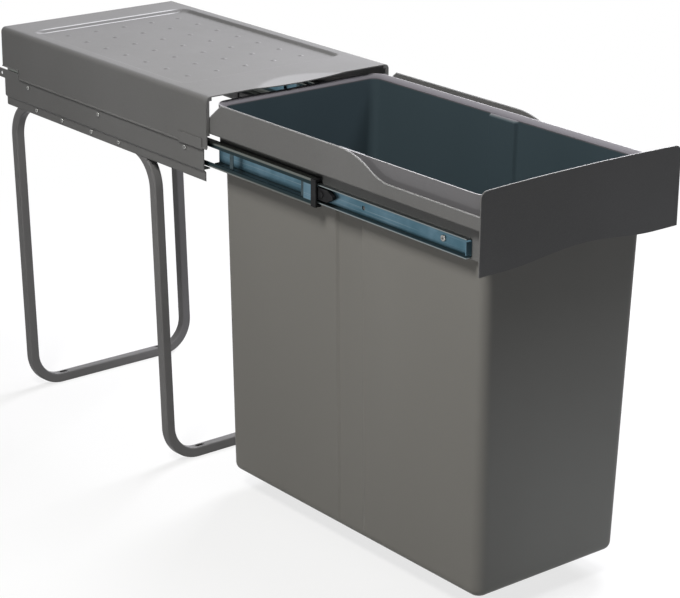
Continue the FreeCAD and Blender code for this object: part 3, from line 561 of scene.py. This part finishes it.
def coverReturns(look):
    # turned-in strips at the front ends of the flanges: an L outline with the cover's bend at its outer
    # corner, carried through the sheet's thickness and repeated on the other side
    low, high = [np.array(corner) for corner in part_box("top_cover")]
    out, top, bend = high[0], high[2] - look["returnSink"], look["bend"]
    inner = out - look["returnWidth"]
    foot = high[2] - look["returnHeight"]
    hook, hookFoot = inner - look["hookWidth"], high[2] - look["hookHeight"]
    turn = np.linspace(0.0, np.pi / 2.0, look["bendSteps"])
    arc = np.stack((out - bend + bend * np.cos(turn), top - bend + bend * np.sin(turn)), -1)
    outline = np.concatenate(([(inner, foot), (out, foot)], arc,
                              [(hook, top), (hook, hookFoot), (inner, hookFoot)]))
    count = len(outline)
    front = low[1] - look["returnLead"]
    right = np.concatenate([np.insert(outline, 1, y, 1) for y in (front, front + look["sheet"])])
    left = right * (-1.0, 1.0, 1.0)
    ring = np.arange(count)
    after = (ring + 1) % count
    sides = np.stack((ring, ring + count, after + count, after), -1)
    faces = [ring, ring[::-1] + count, *sides]
    turned = [face[::-1] + 2 * count for face in faces]
    piece = newPiece("cover_front_returns", np.concatenate((right, left)),
                     [face.tolist() for face in faces + turned], "grey_paint", "frame", "top_cover")
    rollEdges(piece, look["returnRoll"])


coverPiece(coverShape)
coverReturns(coverShape)
print("cover made")

plateShape = {"thick": 0.0015, "crown": 0.002, "corner": 0.008, "arch": 0.0075, "endShare": 0.78,
              "roll": 0.00045, "steps": 61, "rises": 17, "cornerSteps": 9, "digits": 6}


def platePiece(look):
    # flat sheet between two curves over the width: a crowned top edge with round shoulders, and an arched
    # lower edge, one cosine wave that ends at a share of the half width on either side
    low, high = [np.array(corner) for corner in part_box("front_plate")]
    half, corner = high[0], look["corner"]
    flat = half - corner
    shoulder = flat + corner * np.sin(np.linspace(0, np.pi / 2, look["cornerSteps"]))
    x = np.concatenate((np.linspace(-flat, flat, look["steps"]), shoulder, -shoulder))
    x = np.unique(np.round(x, look["digits"]))[:, None]
    beyond = np.maximum(np.abs(x) - flat, 0.0)
    crown = look["crown"] * (np.minimum(np.abs(x), flat) / flat) ** 2
    upper = high[2] - crown - corner + np.sqrt(np.maximum(corner ** 2 - beyond ** 2, 0.0))
    wave = np.clip(np.abs(x) / half / look["endShare"], 0.0, 1.0)
    lower = low[2] + look["arch"] * 0.5 * (1.0 + np.cos(np.pi * wave))
    z = lower + (upper - lower) * np.linspace(0.0, 1.0, look["rises"])[None, :]
    grid = np.stack((x + 0.0 * z, low[1] + 0.0 * z, z), -1)
    piece = newPiece("front_plate_rolled", grid.reshape(-1, 3), gridFaces(*z.shape, False).tolist(),
                     "grey_paint", "drawer", "front_plate")
    thicken(piece, look["thick"])
    rollEdges(piece, look["roll"])


platePiece(plateShape)
print("front plate made")

beadShape = {"radius": 0.0009, "sink": 0.0007, "halfSheet": 0.0006, "frontGap": 0.0003, "waveStart": 0.220,
             "waveLength": 0.080, "upperShare": 0.62, "rise": 0.0152, "chamferLength": 0.026,
             # the bead's tone is lifted by a painted highlight
             "chamferDrop": 0.021, "edgeHighlight": 0.22, "around": 12, "chamferSteps": 6, "levelSteps": 30,
             "waveSteps": 61, "frontSteps": 20}


def panelBead(look, side):
    # rolled upper edge of a side panel: a circle (first parameter) carried along the edge (second), which
    # rises up the chamfer, runs level, comes down a wide arc and a tight arc, and runs level to the plate
    low, high = [np.array(corner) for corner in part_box("side_panel_" + side)]
    middle = low[0] + look["halfSheet"] if side == "left" else high[0] - look["halfSheet"]
    front, rear, top, step = low[1] + look["frontGap"], high[1], high[2], low[2] + look["rise"]
    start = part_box("top_cover")[0][1] - look["waveStart"]
    end = start - look["waveLength"]
    chamfer = rear - look["chamferLength"]
    y = np.concatenate((np.linspace(rear, chamfer, look["chamferSteps"]),
                        np.linspace(chamfer, start, look["levelSteps"])[1:],
                        np.linspace(start, end, look["waveSteps"])[1:],
                        np.linspace(end, front, look["frontSteps"])[1:]))
    drop = top - step
    wideRun, tightRun = (start - end) * look["upperShare"], (start - end) * (1.0 - look["upperShare"])
    bothRadii = ((start - end) ** 2 + drop ** 2) / (2.0 * drop)
    wide, tight = bothRadii * look["upperShare"], bothRadii * (1.0 - look["upperShare"])
    down = wide - np.sqrt(wide ** 2 - np.clip(start - y, 0.0, wideRun) ** 2)
    up = tight - np.sqrt(tight ** 2 - np.clip(y - end, 0.0, tightRun) ** 2)
    z = np.where(y > start - wideRun, top - down, step + up)
    z = z - look["chamferDrop"] * np.clip((y - chamfer) / look["chamferLength"], 0.0, 1.0) - look["sink"]
    alongY, alongZ = np.gradient(y), np.gradient(z)
    size = np.hypot(alongY, alongZ)
    turn = -np.linspace(0.0, 2.0 * np.pi, look["around"], endpoint=False)[None, :]
    lift = look["radius"] * np.sin(turn)
    grid = np.stack((middle + look["radius"] * np.cos(turn) + 0.0 * y[:, None],
                     y[:, None] + lift * (alongZ / size)[:, None],
                     z[:, None] - lift * (alongY / size)[:, None]), -1)
    rows, columns = grid.shape[:2]
    ring = np.arange(columns)
    ends = [ring.tolist(), ((rows - 1) * columns + ring[::-1]).tolist()]
    faces = gridFaces(rows, columns, True).tolist() + ends
    piece = newPiece("panel_rolled_edge_" + side, grid.reshape(-1, 3), faces, "grey_paint", "drawer", None)
    # a painted highlight lightens the whole bead
    markPoints(piece, "paintedHighlightLine", np.full(rows * columns, look["edgeHighlight"]))


for panelSide in ("left", "right"):
    panelBead(beadShape, panelSide)
print("panel edges made")

studio = {"halfSize": 12.0, "floorTone": 0.30, "seenTone": 0.85, "rough": 0.9, "gloss": 0.1, "middleY": -0.25,
          "nearRadius": 0.6, "farRadius": 1.3, "shadowShare": 0.24}


def floorPiece(look):
    # pale floor, mixed with white where it is seen directly; the mix leaves a share of the shadow near the
    # object and none far from it
    half = look["halfSize"]
    mesh = bpy.data.meshes.new("floor")
    corners = [(-half, -half, 0), (half, -half, 0), (half, half, 0), (-half, half, 0)]
    mesh.from_pydata(corners, [], [(0, 1, 2, 3)])
    floor = bpy.data.objects.new("floor", mesh)
    scene.collection.objects.link(floor)
    mat, tree, shader, place = newFinish("pale_floor", {"Roughness": look["rough"],
                                                        "Specular IOR Level": look["gloss"]})
    x, y = axes(tree, place)[:2]
    away = (x ** 2.0 + (y - look["middleY"]) ** 2.0) ** 0.5
    kept = look["shadowShare"]
    share = away.step(look["nearRadius"], look["farRadius"]) * kept + (1.0 - kept)
    seen = directlySeen(tree)
    bounce, pale = [(look[key],) * 3 for key in ("floorTone", "seenTone")]
    feed(shader, {"Base Color": seen.mix(bounce, pale)})
    white = Wire.add(tree, "ShaderNodeEmission", {}, {"Color": (1.0, 1.0, 1.0, 1.0), "Strength": 1.0})
    body = Wire(tree, shader.outputs[0])
    both = Wire.add(tree, "ShaderNodeMixShader", {}, {0: seen * share, 1: body, 2: white})
    feed(tree.nodes["Material Output"], {"Surface": both})
    mesh.materials.append(mat)


floorPiece(studio)

lamps = {
    "overhead": {"place": (0.6, -0.72, 1.9), "aim": (0.05, -0.4, 0.4), "size": (0.9, 0.7), "power": 21.3,
                 "tone": (0.99, 0.985, 1.03)},
    "rearRight": {"place": (1.4, 0.4, 1.3), "aim": (0.0, -0.2, 0.4), "size": (0.8, 0.8), "power": 49.0,
                  "tone": (0.99, 0.985, 1.03)},
    "left": {"place": (-0.85, -0.60, 1.4), "aim": (-0.05, -0.45, 0.3), "size": (0.35, 0.35), "power": 14.7,
             "tone": (1.0, 0.99, 0.95)},
    "leftLow": {"place": (-1.0, -0.60, 0.12), "aim": (0.0, -0.50, 0.10), "size": (0.4, 0.15), "power": 1.8,
                "tone": (1.0, 0.99, 0.95)},
    "frontLow": {"place": (0.1, -0.98, 0.03), "aim": (0.0, -0.66, 0.06), "size": (0.3, 0.05), "power": 0.22,
                 "tone": (0.90, 1.0, 1.05)},
}


def stand(piece, place, side, rise, ahead):
    # puts a lamp or camera at a place, looking ahead
    turn = Matrix(np.column_stack((side, rise, -ahead)).tolist()).to_4x4()
    piece.matrix_world = Matrix.Translation(place) @ turn
    scene.collection.objects.link(piece)


def lampRig(rig):
    for name, look in rig.items():
        data = bpy.data.lights.new(name, "AREA")
        data.shape = "RECTANGLE"
        data.size, data.size_y = look["size"]
        data.energy = look["power"]
        data.color = look["tone"]
        ahead = unit(np.array(look["aim"]) - np.array(look["place"]))
        side = unit(np.cross(ahead, (0.0, 0.0, 1.0)))
        stand(bpy.data.objects.new(name, data), look["place"], side, np.cross(side, ahead), ahead)


lampRig(lamps)

skyLook = {"ambient": (0.82, 0.92, 1.0, 1.0), "strength": 0.02, "white": (1.0, 1.0, 1.0, 1.0)}


def skyWorld(look):
    # faint cool light on the object and plain white behind it
    world = bpy.data.worlds.new("studio")
    scene.world = world
    world.use_nodes = True
    tree = world.node_tree
    ambient = Wire.add(tree, "ShaderNodeBackground", {},
                       {"Color": look["ambient"], "Strength": look["strength"]})
    white = Wire.add(tree, "ShaderNodeBackground", {}, {"Color": look["white"], "Strength": 1.0})
    both = Wire.add(tree, "ShaderNodeMixShader", {}, {0: directlySeen(tree), 1: ambient, 2: white})
    feed(tree.nodes["World Output"], {"Surface": both})


skyWorld(skyLook)
scene.view_settings.view_transform = "Standard"
print("studio set")

view = {"place": (-1.46860, -2.13199, 1.06026), "yaw": -39.026, "pitch": 19.656, "roll": 0.522,
        "lens": 117.65, "sensor": 36.0, "clipEnd": 100.0}


def setCamera(look):
    # yaw turns left from +Y, pitch looks down, roll turns the picture
    yaw, pitch, roll = [math.radians(look[key]) for key in ("yaw", "pitch", "roll")]
    ahead = np.array((-math.sin(yaw) * math.cos(pitch), math.cos(yaw) * math.cos(pitch), -math.sin(pitch)))
    side = np.array((math.cos(yaw), math.sin(yaw), 0.0))
    rise = np.cross(side, ahead)
    right = math.cos(roll) * side + math.sin(roll) * rise
    up = math.cos(roll) * rise - math.sin(roll) * side
    data = bpy.data.cameras.new("photoView")
    data.sensor_width = look["sensor"]
    data.lens = look["lens"]
    data.clip_end = look["clipEnd"]
    camera = bpy.data.objects.new("photoView", data)
    stand(camera, look["place"], right, up, ahead)
    scene.camera = camera


setCamera(view)
print("camera set")
